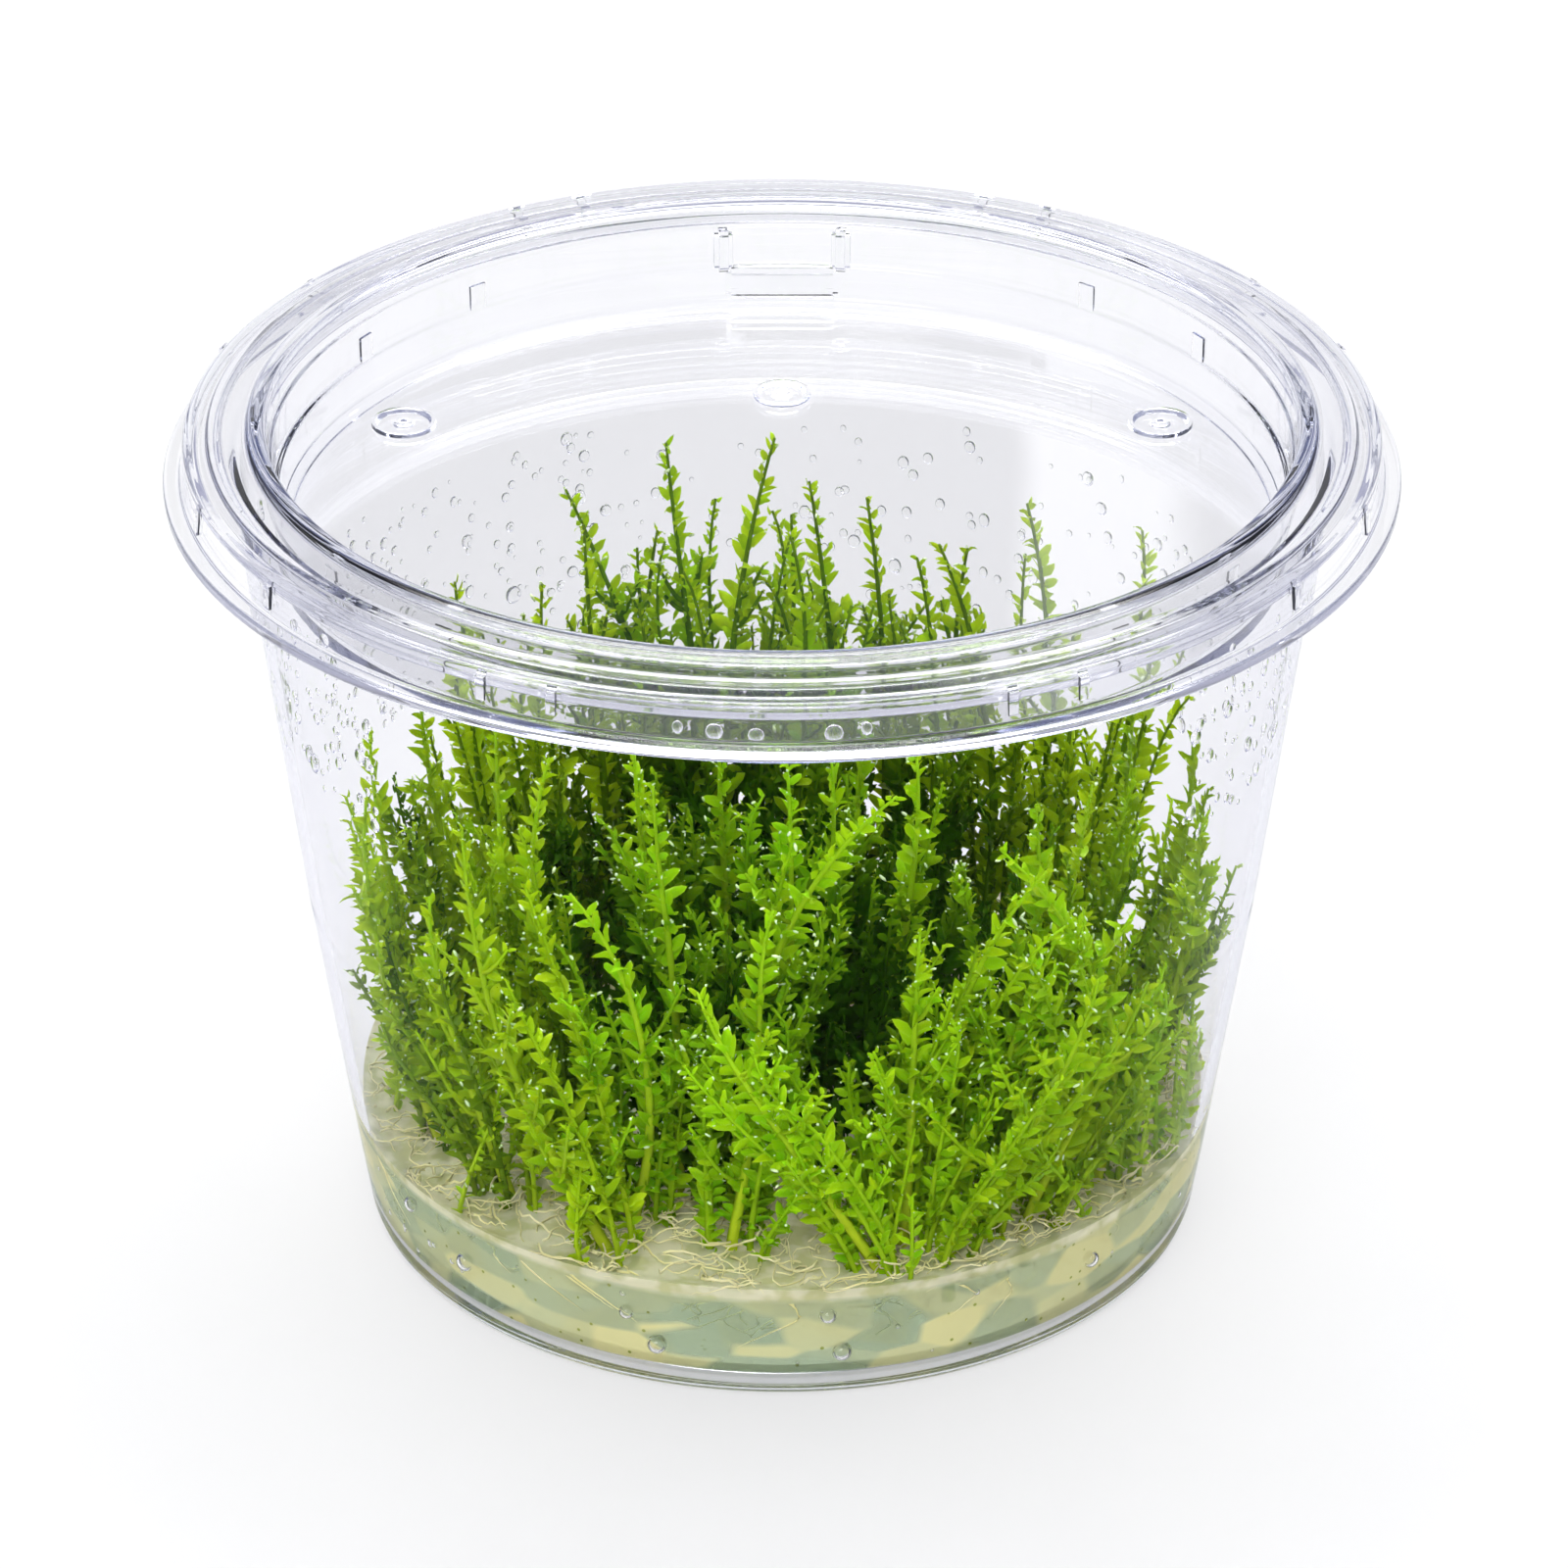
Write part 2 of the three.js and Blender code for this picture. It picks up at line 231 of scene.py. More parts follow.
class Nodes:
    """A short way to make and link the nodes of one material or world."""

    def __init__(self, owner):
        owner.use_nodes = True
        self.tree = owner.node_tree
        self.tree.nodes.clear()

    def give(self, socket, value):
        """Links another node's output to a socket, or sets the socket's own value."""
        if isinstance(value, bpy.types.NodeSocket):
            self.tree.links.new(value, socket)
        else:
            socket.default_value = value

    def add(self, kind, inputs=None, **settings):
        node = self.tree.nodes.new(kind)
        for key, value in settings.items():
            setattr(node, key, value)
        for key, value in (inputs or {}).items():
            self.give(node.inputs[key], value)
        return node

    def place(self, kind="Object"):
        return self.add("ShaderNodeTexCoord").outputs[kind]

    def noise(self, scale, detail=2.0):
        inputs = {"Vector": self.place(), "Scale": scale, "Detail": detail}
        return self.add("ShaderNodeTexNoise", inputs).outputs["Fac"]

    def ramp(self, value, low, high):
        """value from 0..1 turned into low..high."""
        inputs = {"Value": value, "To Min": low, "To Max": high}
        return self.add("ShaderNodeMapRange", inputs).outputs["Result"]

    def rise(self, value, start, end, kind="LINEAR"):
        """0 where value is at start and 1 where it is at end, which may be the lower of the two."""
        inputs = {"Value": value, "From Min": start, "From Max": end}
        return self.add("ShaderNodeMapRange", inputs, interpolation_type=kind).outputs["Result"]

    def smooth_rise(self, value, start, end):
        return self.rise(value, start, end, "SMOOTHSTEP")

    def product(self, first, second):
        return self.add("ShaderNodeMath", {0: first, 1: second}, operation="MULTIPLY").outputs[0]

    def mix(self, share, first, second):
        node = self.add("ShaderNodeMix", data_type="RGBA")
        for number, value in ((0, share), (6, first), (7, second)):
            self.give(node.inputs[number], value)
        return node.outputs[2]

    def bump(self, height, strength, distance):
        inputs = {"Height": height, "Strength": strength, "Distance": distance}
        return self.add("ShaderNodeBump", inputs).outputs["Normal"]

    def attribute(self, name):
        return self.add("ShaderNodeAttribute", attribute_name=name).outputs["Fac"]

    def finish(self, inputs, tint=None, density=0.0):
        """Ends a material with one principled shader, and with the tint that light takes on inside."""
        ends = {"Surface": self.add("ShaderNodeBsdfPrincipled", inputs).outputs[0]}
        if tint:
            inside = self.add("ShaderNodeVolumeAbsorption", {"Color": (*tint, 1), "Density": density})
            ends["Volume"] = inside.outputs[0]
        self.add("ShaderNodeOutputMaterial", ends)


def clear_material(name, ior, body, wave_size, wave_depth, smudge, tint=None, density=0.0):
    """Moulded clear plastic or water: plain transmission, with faint waves and smudges. Light that
    runs far inside it, as along a rim, takes on the tint."""
    made = bpy.data.materials.new(name)
    nodes = Nodes(made)
    waves = nodes.noise(1 / (wave_size * MM))
    smudges = nodes.noise(1 / (14 * MM), detail=5.0)
    inputs = {
        "Base Color": (*body, 1),
        "Roughness": nodes.ramp(smudges, 0.0, smudge),
        "IOR": ior,
        "Transmission Weight": 1.0,
        "Normal": nodes.bump(waves, 0.5, wave_depth * MM),
    }
    nodes.finish(inputs, tint, density)
    return made


def gel_colours(nodes, place):
    """The gel's colour, and the share of light that its surface lets through."""
    slant = {"Vector": place, "Rotation": (0.5, 0.6, 0.3), "Scale": (1, 1, 2.2)}
    slanted = nodes.add("ShaderNodeMapping", slant).outputs[0]
    flake = {"Vector": slanted, "Scale": 1 / (6 * MM), "Smoothness": 0.25}
    flakes = nodes.add("ShaderNodeTexVoronoi", flake, feature="SMOOTH_F1").outputs["Color"]
    cream = nodes.add("ShaderNodeSeparateColor", {0: flakes}).outputs[0]
    patches = nodes.mix(cream, (0.58, 0.74, 0.56, 1), (1.0, 0.94, 0.46, 1))
    dots = nodes.add("ShaderNodeTexVoronoi", {"Vector": place, "Scale": 1 / (1.5 * MM)})
    specks = nodes.rise(dots.outputs["Distance"], 0.13, 0.09)
    side = nodes.mix(specks, patches, (0.34, 0.40, 0.06, 1))
    dips = nodes.rise(nodes.noise(1 / (2.2 * MM)), 0.44, 0.6)
    surface = nodes.mix(dips, (1.0, 0.97, 0.70, 1), (0.74, 0.74, 0.40, 1))
    height = nodes.add("ShaderNodeSeparateXYZ", {0: place}).outputs["Z"]
    top = nodes.rise(height, 9.2 * MM, 9.8 * MM)
    clear = nodes.product(nodes.ramp(cream, 0.76, 0.42), nodes.ramp(top, 1.0, 0.6))
    return nodes.mix(top, side, surface), clear


def gel_material():
    """Nutrient gel with soft slanting flakes of cream and grey-green, dark specks and a pale top."""
    made = bpy.data.materials.new("nutrient_gel")
    nodes = Nodes(made)
    colour, clear = gel_colours(nodes, nodes.place())
    clouds = nodes.noise(1 / (4 * MM), detail=3.0)
    inputs = {
        "Base Color": colour,
        "Roughness": nodes.ramp(clouds, 0.0, 0.08),
        "IOR": 1.06,
        "Transmission Weight": clear,
        "Normal": nodes.bump(clouds, 0.6, 0.3 * MM),
    }
    nodes.finish(inputs, tint=(0.86, 0.84, 0.19), density=20.0)
    return made


def moss_colour(nodes, depth):
    """The colour of leaves and stems: yellow-green where young, with a painted highlight on the leaves'
    edges and painted shade deep in the clump.
    """
    growth, tone, blade = (nodes.attribute(name) for name in ("growth", "tone", "blade"))
    old = nodes.mix(tone, (0.23, 0.66, 0.003, 1), (0.52, 0.70, 0.003, 1))
    young = nodes.mix(tone, (0.41, 0.98, 0.004, 1), (0.72, 0.94, 0.005, 1))
    body = nodes.mix(growth, old, young)
    leaf = nodes.mix(nodes.ramp(blade, 0.30, 0.0), body, (0.12, 0.40, 0.008, 1))
    # A painted highlight: the leaves' edges are painted paler
    edge = {"Value": nodes.attribute("edge"), "From Min": 0.6, "To Max": 0.6}
    rim = nodes.add("ShaderNodeMapRange", edge).outputs[0]
    rim_highlighted = nodes.mix(rim, leaf, (0.62, 0.92, 0.05, 1))
    stem = nodes.mix(growth, (0.90, 0.96, 0.04, 1), (0.55, 0.94, 0.02, 1))
    surface = nodes.mix(nodes.attribute("stem"), rim_highlighted, stem)
    # Painted shade: darker deep in the clump, from the depth value
    shaded = nodes.mix(depth, surface, (0.02, 0.10, 0.002, 1))
    mottle = nodes.noise(1 / (1.1 * MM), detail=3.0)
    return nodes.mix(nodes.ramp(mottle, 0.0, 0.28), shaded, (0.04, 0.26, 0.004, 1))


def leaf_material():
    """Wet moss, which also glows yellow-green where light comes through it."""
    made = bpy.data.materials.new("spiky_moss")
    nodes = Nodes(made)
    # Painted shade deep in the clump darkens both the leaves' colour and the light that comes through
    # them
    depth = nodes.ramp(nodes.attribute("depth"), 0.0, 0.95)
    colour = moss_colour(nodes, depth)
    light = nodes.mix(depth, (0.74, 0.96, 0.01, 1), (0.05, 0.16, 0.003, 1))
    normal = nodes.bump(nodes.noise(1 / (0.35 * MM)), 0.5, 0.12 * MM)
    inputs = {
        "Base Color": colour,
        "Roughness": 0.18,
        "IOR": 1.45,
        "Specular Tint": (0.8, 1.0, 0.06, 1),
        "Normal": normal,
    }
    gloss = nodes.add("ShaderNodeBsdfPrincipled", inputs)
    glow = {"Color": nodes.mix(0.55, colour, light), "Normal": normal}
    through = nodes.add("ShaderNodeBsdfTranslucent", glow)
    shares = {0: 0.30, 1: gloss.outputs[0], 2: through.outputs[0]}
    both = nodes.add("ShaderNodeMixShader", shares)
    nodes.add("ShaderNodeOutputMaterial", {"Surface": both.outputs[0]})
    return made


def root_material():
    """Cream root hairs with olive patches."""
    made = bpy.data.materials.new("root_hairs")
    nodes = Nodes(made)
    patches = nodes.noise(1 / (2.5 * MM), detail=2.0)
    inputs = {
        "Base Color": nodes.mix(patches, (0.68, 0.64, 0.15, 1), (1.0, 0.94, 0.64, 1)),
        "Roughness": 0.4,
        "Normal": nodes.bump(patches, 0.3, 0.05 * MM),
    }
    nodes.finish(inputs)
    return made


def dew_and_glint_material():
    """The bright wet points on the leaves: their pale colour is a painted glint, under a glossy coat."""
    made = bpy.data.materials.new("dew_and_glints")
    nodes = Nodes(made)
    shine = nodes.noise(1 / (3 * MM))
    inputs = {
        "Base Color": nodes.mix(shine, (0.66, 0.92, 0.26, 1), (0.92, 1.0, 0.70, 1)),
        "Roughness": 0.12,
        "Coat Weight": 1.0,
    }
    nodes.finish(inputs)
    return made


# The cup, the lid and the gel


def build_cup(material):
    neck = float(wall_radius(RIM_TOP - 1.6))
    # The floor's underside, and the outside of the wall
    profile = [(0, 0.4), (32.1, 0.4), (32.4, FOOT_TOP), (FOOT_RADIUS + 0.2, FOOT_TOP)]
    profile += [(radius, z) for z, radius in WALL]
    # The out-turned rim
    profile += [(neck, RIM_TOP - 1.6), (neck + 0.5, RIM_TOP - 0.9), (RIM_RADIUS, RIM_TOP - 0.8)]
    profile += [(RIM_RADIUS, RIM_TOP - 0.1), (RIM_RADIUS - 0.3, RIM_TOP), (neck - 0.3, RIM_TOP)]
    # The inside of the wall, and the raised floor
    profile += [(radius - WALL_THICKNESS, z) for z, radius in reversed(WALL)]
    profile += [(34.35, 2.0), (33.9, 1.7), (32.3, 1.6), (31.8, CUP_FLOOR), (0, CUP_FLOOR)]
    cup = new_object("cup_clear", *turned(rounded(profile)))
    finish_piece(cup, material, ["cup"])


def build_foot(material):
    """The ring that the cup stands on, under the wall's end."""
    top = FOOT_TOP - 0.02
    profile = [(32.5, top), (32.6, 0.3), (32.9, 0.05), (33.2, 0)]
    profile += [(34.2, 0), (34.6, 0.15), (34.85, 0.45), (35.05, top)]
    foot = new_object("foot_ring_clear", *turned_ring(profile))
    finish_piece(foot, material)


# Degrees from the front, on both sides of it
RIB_ANGLES = (21, 28, 55, 72, 108, 125, 152, 159)
LUG_ANGLES = (39, 58, 122, 141)
POST_ANGLE = 172.9
# Place and radius of the round marks on the panel
MARKS = ((-31.5, 16.7, 2.7), (0, 22.3, 2.4), (31.5, 16.7, 2.7))


def round_mark(x, y, radius):
    """A low ring with a small ring at its middle, moulded on the panel."""
    ring = [(0, -0.3), (radius, -0.3), (radius, 0.36), (radius - 0.35, 0.36), (radius - 0.6, 0.08)]
    ring += [(0.9, 0.08), (0.7, 0.30), (0.4, 0.30), (0.2, 0.08), (0, 0.08)]
    vertices, faces = turned(rounded(ring, 0.1, 2), sides=40)
    return [(vx + x, vy + y, vz + PANEL_TOP) for vx, vy, vz in vertices], faces


def lid_details():
    """The ribs, lugs, tab and marks that are moulded with the lid."""
    parts = []
    for angle in [sign * angle for angle in RIB_ANGLES for sign in (1, -1)]:
        parts.append(block(1.5, 0.9, 2.7, (0, -48.35, 69.3), angle, bevel=0.36))
    for angle in [sign * angle for angle in LUG_ANGLES for sign in (1, -1)]:
        parts.append(block(2.4, 1.0, 3.6, (0, -41.4, 66.9), angle, bevel=0.42))
    # The wide tab at the back, between its two posts
    parts.append(block(9.6, 2.2, 2.8, (0, -40.5, 64.7), 180, bevel=0.45))
    for angle in (POST_ANGLE, -POST_ANGLE):
        parts.append(block(1.6, 1.8, 3.8, (0, -40.9, 67.6), angle, bevel=0.4))
    parts.extend(round_mark(*mark) for mark in MARKS)
    return parts


def build_lid(material):
    plug = RECESS_RADIUS + LID_SKIN
    below = PANEL_TOP - LID_SKIN
    # Under the panel, up the plug and over the cup's rim
    profile = [(0, below), (PANEL_RADIUS + 0.6, below), (plug - 0.9, PANEL_TOP - 0.5), (plug - 0.3, 66)]
    profile += [(plug, 69.8), (42.7, 70.65), (45.3, 70.6), (45.6, RIM_TOP + 0.6)]
    # Down the inside of the skirt, round the flange and up the outside of the skirt
    profile += [(47.2, RIM_TOP + 0.55), (47.5, 69.8), (47.85, FLANGE_BOTTOM)]
    profile += [(FLANGE_RADIUS, FLANGE_BOTTOM), (FLANGE_RADIUS, 67.5), (48.65, 67.55), (48.35, 70.6)]
    # The steps of the ring, and its inner bead
    profile += [(47.8, 71.0), (46.5, 71.05), (46.2, 71.35), (45.6, 71.5), (43.3, 71.45)]
    profile += [(43.0, 71.85), (42.5, LID_TOP), (41.7, LID_TOP - 0.1)]
    # Down the wall of the recess to the panel
    profile += [(RECESS_RADIUS, 70.6), (41.4, 69.6), (41.15, 69.4), (41.1, 66.2), (40.7, 65.9)]
    profile += [(PANEL_RADIUS + 0.5, PANEL_TOP + 0.7), (PANEL_RADIUS - 0.3, PANEL_TOP), (0, PANEL_TOP)]
    lid = new_object("lid_clear", *turned(rounded(profile)))
    union(lid, lid_details())
    finish_piece(lid, material, ["lid"])


def gel_wave(radius, height, angles):
    """The uneven top of the gel."""
    if height < GEL_TOP - 0.5:
        return 0
    return 0.16 * np.sin(3 * angles + radius * 0.35) + 0.1 * np.sin(7 * angles - radius * 0.5)


BUBBLE_SEED = 5
SMALL_BUBBLES = 60
# Degrees from the front, height and radius of the large bubbles
BUBBLES = (
    (-17, 3.9, 0.85),
    (8, 4.0, 0.85),
    (-21, 6.8, 0.65),
    (6, 7.9, 0.75),
    (46, 6.5, 0.75),
    (-48, 5.6, 0.85),
    (-60, 7.6, 0.7),
)


def build_bubbles(material):
    """Round bubbles in the gel, at the wall."""
    rng = np.random.default_rng(BUBBLE_SEED)
    bubbles = list(BUBBLES)
    for _ in range(SMALL_BUBBLES):
        bubbles.append((rng.uniform(0, 360), rng.uniform(2.8, 8.8), rng.uniform(0.12, 0.34)))
    parts = []
    for degrees, z, radius in bubbles:
        angle = math.radians(degrees)
        reach = float(inner_radius(z)) - radius * 0.1
        points, faces = sphere(3, radius)
        parts.append((points + [reach * math.sin(angle), -reach * math.cos(angle), z], faces))
    balls = new_object("gel_bubbles", *joined(parts))
    finish_piece(balls, material)


def build_gel(material):
    """The gel reaches a little into the wall, so that no film of air shows between them."""
    side = [(float(inner_radius(z)) + 0.06, z) for z in (3.2, 6.0, 9.0, GEL_TOP + 0.5)]
    top = float(inner_radius(GEL_TOP))
    low = CUP_FLOOR - 0.04
    profile = [(0, low), (31.83, low), (32.33, 1.56), (33.93, 1.66), (34.4, 1.97), *side]
    profile += [(top - 0.25, GEL_TOP + 0.45), (top - 0.9, GEL_TOP + 0.1), (top - 2.0, GEL_TOP)]
    profile += [(reach, GEL_TOP) for reach in range(32, 2, -2)]
    profile.append((0, GEL_TOP))
    gel = new_object("gel_body", *turned(profile, sides=GEL_SIDES, wave=gel_wave))
    gel.data.set_sharp_from_angle(angle=math.radians(50))
    finish_piece(gel, material, ["gel"])


# The moss. A frond is a thin stem with leaves along it. Its stem is a line of points, and it lies
# flat across its side direction.

# Where a leaf's rows of points stand along it, and how wide it is there
LEAF_ROWS = np.array([0.0, 0.40, 0.76])
LEAF_WIDTHS = np.array([0.96, 1.0, 0.66])
LEAF_POINTS = 3 * len(LEAF_ROWS) + 1
LEAF_SPACING = 0.43
LEAF_LENGTH = 2.1
STEM_SIDES = 5
FRAME_STEPS = 40


class Growth:
    """Gathers the vertices, faces and painted values of one moss piece. The shade is the share of the
    clump's painted shade that it takes. It takes at least its painted gloom, and its stems at least
    their painted stem shade. Dew can sit on the lines from wet_starts to wet_ends."""

    def __init__(self):
        self.vertices, self.quads, self.triangles = [], [], []
        self.values = {"growth": [], "tone": [], "blade": [], "edge": [], "stem": [], "depth": []}
        self.wet_starts, self.wet_ends = [], []
        self.count = 0
        self.shade = 1.0
        self.pale_stem = 1.0
        self.painted_stem_shade = 0.0
        self.painted_gloom = 0.0

    def add(self, vertices, quads, triangles, **values):
        self.vertices.append(vertices)
        self.quads.append(quads + self.count)
        self.triangles.append(triangles + self.count)
        # Painted shade: the clump's share of it, and at least the frond's painted gloom and any painted
        # shade of its stems
        least = max(self.painted_gloom, values.pop("dark", 0.0))
        values["depth"] = np.maximum(painted_shade_in_clump(vertices) * self.shade, least)
        for key, stored in self.values.items():
            stored.append(np.broadcast_to(values[key], len(vertices)))
        self.count += len(vertices)

    def object(self, name):
        mesh = bpy.data.meshes.new(name)
        vertices = np.concatenate(self.vertices) * MM
        quads = np.concatenate(self.quads)
        triangles = np.concatenate(self.triangles)
        corners = np.concatenate([quads.ravel(), triangles.ravel()])
        sizes = np.concatenate([np.full(len(quads), 4), np.full(len(triangles), 3)])
        starts = np.concatenate([[0], np.cumsum(sizes)[:-1]])
        mesh.vertices.add(len(vertices))
        mesh.vertices.foreach_set("co", vertices.astype(np.float32).ravel())
        mesh.loops.add(len(corners))
        mesh.loops.foreach_set("vertex_index", corners.astype(np.int32))
        mesh.polygons.add(len(sizes))
        mesh.polygons.foreach_set("loop_start", starts.astype(np.int32))
        mesh.update(calc_edges=True)
        mesh.shade_smooth()
        for key, stored in self.values.items():
            painted = mesh.attributes.new(key, "FLOAT", "POINT")
            painted.data.foreach_set("value", np.concatenate(stored).astype(np.float32))
        made = bpy.data.objects.new(name, mesh)
        bpy.context.scene.collection.objects.link(made)
        return made

    def wet_places(self):
        return np.concatenate(self.wet_starts), np.concatenate(self.wet_ends)


def painted_shade_in_clump(points):
    """The share of painted shade at each point: 0 beside the wall and at the top of the clump, 1 in its
    dark middle.
    """
    gap = inner_radius(points[:, 2]) - np.hypot(points[:, 0], points[:, 1])
    return np.clip((gap - 7.5) / 9, 0, 1) * np.clip((44 - points[:, 2]) / 16, 0, 1)


def held_inside(points, room=0.7):
    """Points moved in from the cup's wall and down from the lid."""
    points = np.array(points, float)
    points[:, 2] = np.minimum(points[:, 2], MOSS_TOP)
    reach = np.hypot(points[:, 0], points[:, 1])
    limit = inner_radius(points[:, 2]) - room
    share = np.minimum(1, limit / np.maximum(reach, 1e-6))
    points[:, :2] *= share[:, None]
    return points


def along_line(points, shares):
    """Points at equal shares of a line's length."""
    steps = np.linalg.norm(np.diff(points, axis=0), axis=1)
    lengths = np.concatenate([[0], np.cumsum(steps)])
    wanted = np.asarray(shares) * lengths[-1]
    return np.stack([np.interp(wanted, lengths, points[:, axis]) for axis in range(3)], axis=1)


def line_length(points):
    return float(np.linalg.norm(np.diff(points, axis=0), axis=1).sum())


def line_frames(points, side):
    """The direction, side and face of a line at each of its points."""
    ahead = unit(np.gradient(points, axis=0))
    across = np.broadcast_to(side, ahead.shape)
    across = unit(across - (across * ahead).sum(1, keepdims=True) * ahead)
    return ahead, across, np.cross(across, ahead)


def tube_points(line, side, radii, sides):
    """Points round a line, ring by ring."""
    _, across, face = line_frames(line, side)
    turn = np.linspace(0, 2 * np.pi, sides, endpoint=False)
    ring = across[:, None] * np.cos(turn)[None, :, None] + face[:, None] * np.sin(turn)[None, :, None]
    return (line[:, None] + ring * radii[:, None, None]).reshape(-1, 3)


def tube_faces(rings, sides):
    """A tube's quads, ring by ring, and the triangles that close its ends."""
    i, j = np.meshgrid(np.arange(rings - 1), np.arange(sides), indexing="ij")
    k = (j + 1) % sides
    corners = [i * sides + j, (i + 1) * sides + j, (i + 1) * sides + k, i * sides + k]
    quads = np.stack(corners, axis=-1).reshape(-1, 4)
    last = (rings - 1) * sides
    ends = [[0, c, c + 1] for c in range(1, sides - 1)]
    ends += [[last, last + c + 1, last + c] for c in range(1, sides - 1)]
    return quads, np.array(ends)


def add_stem(growth, points, side, thick, thin, tone):
    count = len(points)
    vertices = tube_points(points, side, np.linspace(thick, thin, count), STEM_SIDES)
    heights = np.repeat(np.linspace(0, 1, count), STEM_SIDES)
    painted = {"growth": heights, "tone": tone, "blade": 0.0, "edge": 0.0, "stem": growth.pale_stem}
    painted["dark"] = growth.painted_stem_shade
    growth.add(vertices, *tube_faces(count, STEM_SIDES), **painted)


def leaf_points(bases, axes, normals, shape):
    """The left, middle and right points of curled, pointed blades, row by row, with their tips."""
    rows = len(LEAF_ROWS)
    across = unit(np.cross(normals, axes))
    bend = shape["bend"][:, None] * np.append(LEAF_ROWS, 1.0)[None]
    safe = np.maximum(np.abs(shape["bend"]), 0.05) * np.where(shape["bend"] < 0, -1, 1)
    reach = (shape["length"] / safe)[:, None]
    forward = np.sin(bend) * reach
    sink = (1 - np.cos(bend)) * reach
    middle = bases[:, None] + axes[:, None] * forward[..., None] - normals[:, None] * sink[..., None]
    half = shape["width"][:, None] * 0.5 * LEAF_WIDTHS[None]
    spread = across[:, None] * half[..., None]
    left = middle[:, :rows] - spread + normals[:, None] * (half * shape["left"])[..., None]
    right = middle[:, :rows] + spread + normals[:, None] * (half * shape["right"])[..., None]
    return left, middle, right


def leaf_faces(count):
    """The quads between the rows of each leaf, and the two triangles of its tip."""
    tip = LEAF_POINTS - 1
    quads = []
    for row in range(len(LEAF_ROWS) - 1):
        for low in (row * 3, row * 3 + 1):
            quads.append([low, low + 3, low + 4, low + 1])
    triangles = [[tip - 3, tip, tip - 2], [tip - 2, tip, tip - 1]]
    starts = (np.arange(count) * LEAF_POINTS)[:, None, None]
    all_quads = (np.array(quads)[None] + starts).reshape(-1, 4)
    return all_quads, (np.array(triangles)[None] + starts).reshape(-1, 3)


def add_leaves(growth, bases, axes, normals, shape, heights, tones):
    """Leaves from their bases along their axes. The shape holds each leaf's length, width, bend and
    the lifts of its two edges."""
    count, rows = len(bases), len(LEAF_ROWS)
    left, middle, right = leaf_points(bases, axes, normals, shape)
    vertices = np.concatenate([left, middle[:, :rows], right], axis=2).reshape(count, 3 * rows, 3)
    vertices = np.concatenate([vertices, middle[:, rows:]], axis=1).reshape(-1, 3)
    painted = {
        "growth": np.repeat(heights, LEAF_POINTS),
        "tone": np.repeat(tones, LEAF_POINTS),
        "blade": np.tile(np.append(np.repeat(LEAF_ROWS, 3), 1.0), count),
        "edge": np.tile([1.0, 0.0, 1.0] * rows + [1.0], count),
        "stem": 0.0,
    }
    growth.add(vertices, *leaf_faces(count), **painted)
    growth.wet_starts += [left[:, -1], right[:, -1]]
    growth.wet_ends += [middle[:, rows], middle[:, rows]]


def leaf_size(share):
    """Leaf size along a frond: small at its foot, full from a quarter up, and small at its tip."""
    rise = np.clip(share / 0.25, 0, 1) ** 0.7
    fall = np.clip((1 - share) / 0.30, 0, 1) ** 0.8
    return (0.45 + 0.55 * rise) * (0.42 + 0.58 * fall)


def leaf_directions(rng, frames, shares):
    """Which way each leaf of a frond points and faces, and which way it leaves the stem."""
    count = len(shares)
    ahead, across, face = frames
    # Two rows to the sides, and every third leaf stands out of the front or the back
    sign = np.where(np.arange(count) % 2 == 0, 1.0, -1.0)
    roll = rng.normal(0, 0.38, count)
    out_of_face = rng.random(count) < 0.30
    roll = np.where(out_of_face, rng.uniform(0.9, 2.2, count) * rng.choice([-1, 1], count), roll)
    away = across * (sign * np.cos(roll))[:, None] + face * np.sin(roll)[:, None]
    lean = np.radians(62 - 20 * shares + rng.normal(0, 9, count))
    axes = unit(ahead * np.cos(lean)[:, None] + away * np.sin(lean)[:, None])
    flat = unit(ahead - (ahead * axes).sum(1, keepdims=True) * axes)
    normals = unit(np.cross(axes, flat))
    normals *= np.where((normals * face).sum(1) < 0, -1, 1)[:, None]
    twist = rng.normal(0, 0.45, count)
    normals = unit(normals * np.cos(twist)[:, None] + np.cross(axes, normals) * np.sin(twist)[:, None])
    return axes, normals, away


def leaf_shapes(rng, shares, scale):
    """The length, width, bend and edge lifts of each leaf of a frond."""
    count = len(shares)
    lengths = LEAF_LENGTH * (scale * leaf_size(shares) * rng.uniform(0.82, 1.15, count))
    return {
        "length": lengths,
        "width": lengths * rng.uniform(0.34, 0.50, count),
        "bend": np.clip(rng.normal(0.5, 0.9, count), -1.5, 2.0),
        "left": rng.uniform(0.0, 1.3, (count, len(LEAF_ROWS))),
        "right": rng.uniform(0.0, 1.3, (count, len(LEAF_ROWS))),
    }


def grow_frond(growth, points, side, rng, scale=1.0, bare=0.06, tone=0.5, thick=0.5):
    """A frond along a line of points. The first share of it, bare, has no leaves."""
    length = line_length(points)
    stations = max(int(length / 1.6), 8)
    add_stem(growth, along_line(points, np.linspace(0, 1, stations)), side, thick, 0.12, tone)
    count = max(int(length * (1 - bare) / LEAF_SPACING), 10)
    shares = np.linspace(bare, 0.995, count) + rng.normal(0, 0.25 / count, count)
    shares = np.clip(shares, 0.0, 1.0)
    bases = along_line(points, shares)
    frames = line_frames(along_line(points, np.linspace(0, 1, FRAME_STEPS)), side)
    nearest = (shares * (FRAME_STEPS - 1)).round().astype(int)
    axes, normals, away = leaf_directions(rng, [vectors[nearest] for vectors in frames], shares)
    shape = leaf_shapes(rng, shares, scale)
    tones = np.clip(tone + rng.normal(0, 0.18, count), 0, 1)
    add_leaves(growth, bases + away * 0.1, axes, normals, shape, shares, tones)


SPINE_STEPS = 24
MIDDLE = SPINE_STEPS // 2


